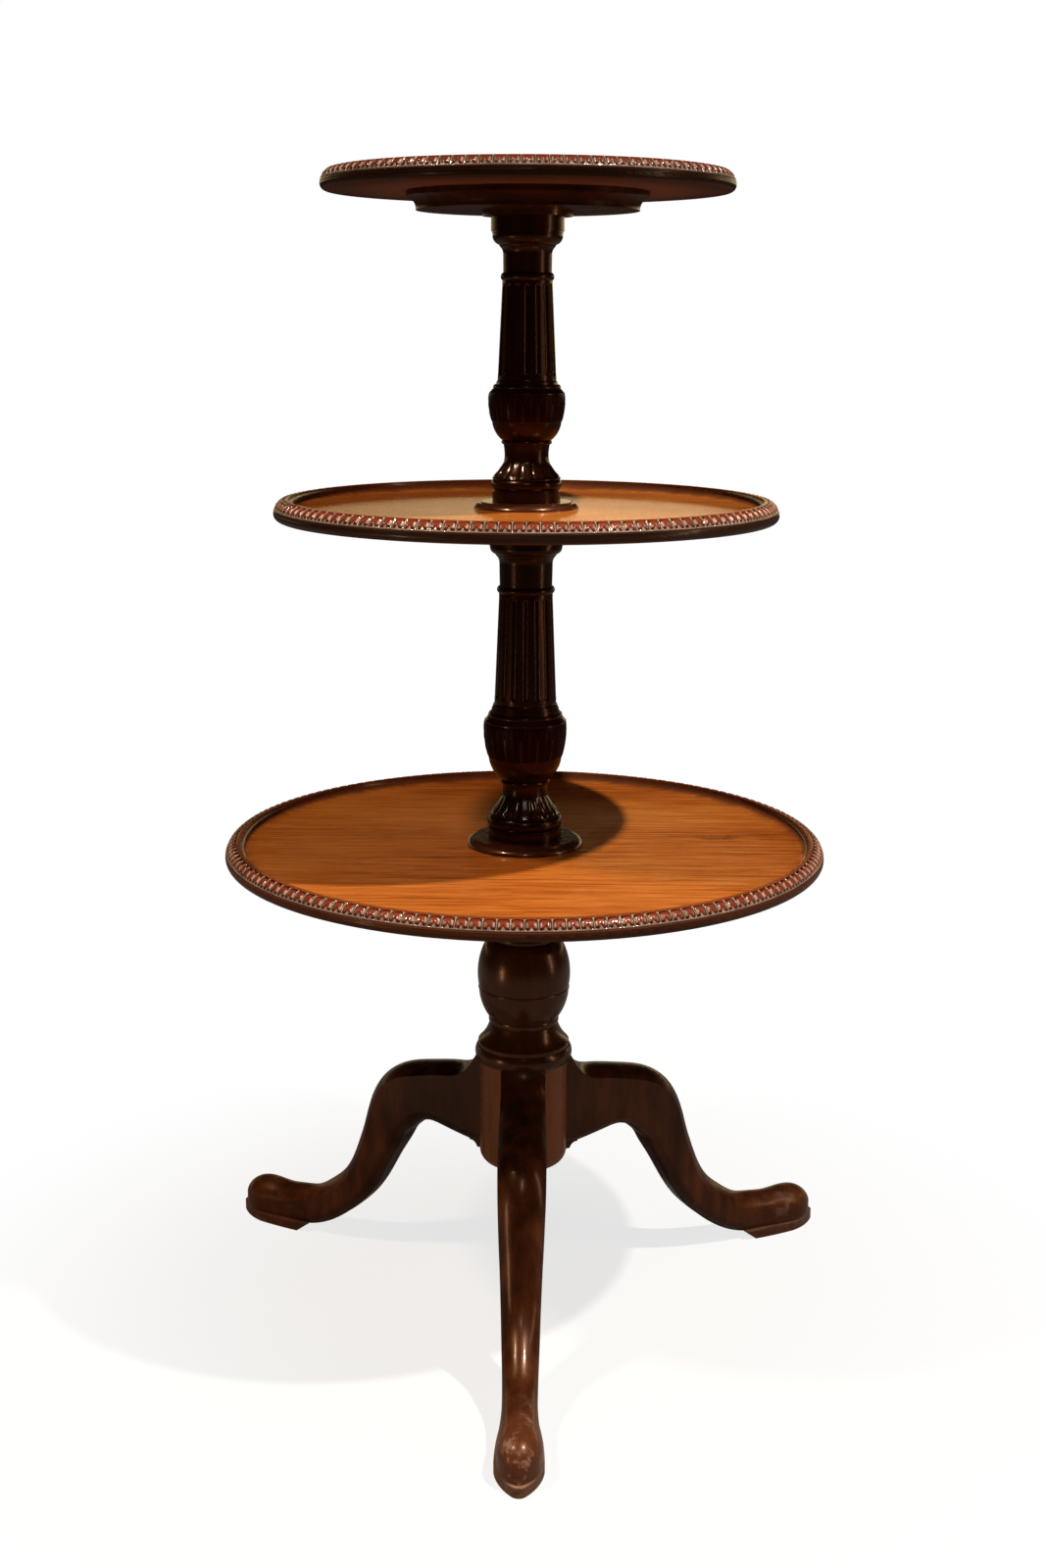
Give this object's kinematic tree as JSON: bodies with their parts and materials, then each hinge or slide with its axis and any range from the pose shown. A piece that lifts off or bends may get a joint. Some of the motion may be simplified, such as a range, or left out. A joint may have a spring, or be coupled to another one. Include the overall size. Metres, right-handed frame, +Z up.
{
  "type": "dumbwaiter table",
  "caption": "Turned wooden dumbwaiter: dished round trays with carved rims, smaller towards the top, revolve on fluted columns above a tripod of cabriole legs with pad feet.",
  "frame": {"origin": "where the axis of the columns meets the floor", "axes": "+Z up along the columns; the front leg points towards -Y, the right leg towards +X and +Y"},
  "size_m": [0.6583, 0.6822, 1.149],
  "materials": {
    "tray_mahogany": "polished",
    "dark_mahogany": "polished",
    "spindle_beech": "bare, waxed",
    "screw_iron": "dark, old"
  },
  "bodies": {
    "stand": {"base_pillar": "dark_mahogany", "front_leg": "dark_mahogany", "right_leg": "dark_mahogany", "left_leg": "dark_mahogany", "lower_spindle": "spindle_beech", "bottom_washer": "dark_mahogany", "lower_column": "dark_mahogany", "middle_spindle": "spindle_beech", "middle_washer": "dark_mahogany", "upper_column": "dark_mahogany", "top_pivot": "spindle_beech", "top_washer": "dark_mahogany"},
    "bottom_revolving": {"bottom_tier": "tray_mahogany", "bottom_collar": "dark_mahogany"},
    "middle_revolving": {"middle_tier": "tray_mahogany", "middle_collar": "dark_mahogany"},
    "top_revolving": {"top_tier": "tray_mahogany", "top_bearer": "dark_mahogany", "bearer_screws": "screw_iron"}
  },
  "joints": [
    {"name": "bottom_tray_turn", "type": "hinge", "parent": "stand", "child": "bottom_revolving", "pos_m": [0, 0, 0.4865], "axis": [0, 0, 1], "continuous": true},
    {"name": "middle_tray_turn", "type": "hinge", "parent": "stand", "child": "middle_revolving", "pos_m": [0, 0, 0.8245], "axis": [0, 0, 1], "continuous": true},
    {"name": "top_tray_turn", "type": "hinge", "parent": "stand", "child": "top_revolving", "pos_m": [0, 0, 1.1125], "axis": [0, 0, 1], "continuous": true}
  ]
}
